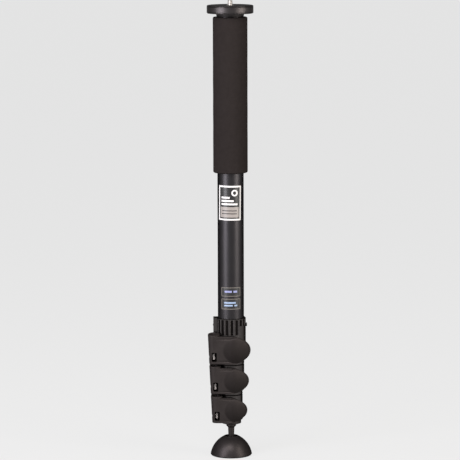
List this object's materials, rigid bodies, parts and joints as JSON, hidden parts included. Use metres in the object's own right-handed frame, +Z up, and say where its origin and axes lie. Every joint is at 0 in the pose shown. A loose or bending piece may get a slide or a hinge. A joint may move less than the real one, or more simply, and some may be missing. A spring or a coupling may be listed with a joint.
{
  "type": "camera monopod",
  "caption": "Telescopic flip-lock camera monopod, folded, with a threaded stud on a round plate, a foam grip and a ball-jointed domed foot.",
  "frame": {"origin": "centre of the sole, on the floor", "axes": "+Z up the leg to the camera stud, -Y is the front that the levers wrap, +X to the right"},
  "size_m": [0.0565, 0.0564, 0.5597],
  "materials": {
    "plate_black": "black anodised, satin, fine turned grooves",
    "tube_black": "black anodised, satin",
    "end_black": "black anodised, satin",
    "grip_foam": "matt black closed-cell foam",
    "label_print": "printed film",
    "lock_plastic": "black moulded plastic",
    "lever_plastic": "dark grey moulded plastic, fine spark texture",
    "bright_steel": "bright plated",
    "black_steel": "black oxide",
    "guide_nylon": "natural nylon",
    "foot_rubber": "dark moulded rubber, satin"
  },
  "bodies": {
    "upper_leg": {"camera_stud": "bright_steel", "top_plate": "plate_black", "stud_set_screw": "bright_steel", "plate_grub_screws": "bright_steel", "top_tube": "tube_black", "foam_grip": "grip_foam", "main_label": "label_print", "upper_sticker": "label_print", "lower_sticker": "label_print", "upper_collar": "lock_plastic", "upper_shim": "guide_nylon", "upper_t_bolt": "bright_steel", "upper_nut": "bright_steel", "upper_collar_screw": "black_steel", "upper_clamp_screw": "black_steel"},
    "upper_flip_lever": {"upper_lever": "lever_plastic"},
    "second_section": {"second_tube": "tube_black", "second_bush": "guide_nylon", "middle_collar": "lock_plastic", "middle_shim": "guide_nylon", "middle_t_bolt": "bright_steel", "middle_nut": "bright_steel", "middle_collar_screw": "black_steel"},
    "middle_flip_lever": {"middle_lever": "lever_plastic"},
    "third_section": {"third_tube": "tube_black", "third_bush": "guide_nylon", "lower_collar": "lock_plastic", "lower_shim": "guide_nylon", "lower_t_bolt": "bright_steel", "lower_nut": "bright_steel", "lower_collar_screw": "black_steel"},
    "lower_flip_lever": {"lower_lever": "lever_plastic"},
    "bottom_section": {"bottom_tube": "tube_black", "bottom_bush": "guide_nylon", "end_plug": "end_black", "foot_stem": "end_black"},
    "foot_swivel": {"foot_ball": "bright_steel"},
    "foot": {"foot_dome": "foot_rubber", "upper_socket": "guide_nylon", "lower_socket": "guide_nylon", "sole_plate": "lock_plastic", "sole_screws": "bright_steel", "sole_pad": "foot_rubber"}
  },
  "joints": [
    {"name": "upper_lever_flip", "type": "hinge", "parent": "upper_leg", "child": "upper_flip_lever", "pos_m": [-0.021, -0.01583, 0.1258], "axis": [0, 0, -1], "range_deg": [0, 90]},
    {"name": "middle_lever_flip", "type": "hinge", "parent": "second_section", "child": "middle_flip_lever", "pos_m": [-0.0193, -0.01476, 0.0886], "axis": [0, 0, -1], "range_deg": [0, 90]},
    {"name": "lower_lever_flip", "type": "hinge", "parent": "third_section", "child": "lower_flip_lever", "pos_m": [-0.0176, -0.01369, 0.052], "axis": [0, 0, -1], "range_deg": [0, 90]},
    {"name": "second_section_slide", "type": "slide", "parent": "upper_leg", "child": "second_section", "axis": [0, 0, -1], "range_m": [0, 0.355]},
    {"name": "third_section_slide", "type": "slide", "parent": "second_section", "child": "third_section", "axis": [0, 0, -1], "range_m": [0, 0.355]},
    {"name": "bottom_section_slide", "type": "slide", "parent": "third_section", "child": "bottom_section", "axis": [0, 0, -1], "range_m": [0, 0.355]},
    {"name": "foot_turn", "type": "hinge", "parent": "bottom_section", "child": "foot_swivel", "pos_m": [0, 0, 0.0135], "axis": [0, 0, 1], "continuous": true},
    {"name": "foot_tilt", "type": "hinge", "parent": "foot_swivel", "child": "foot", "pos_m": [0, 0, 0.0135], "axis": [1, 0, 0], "range_deg": [-14, 14]}
  ]
}
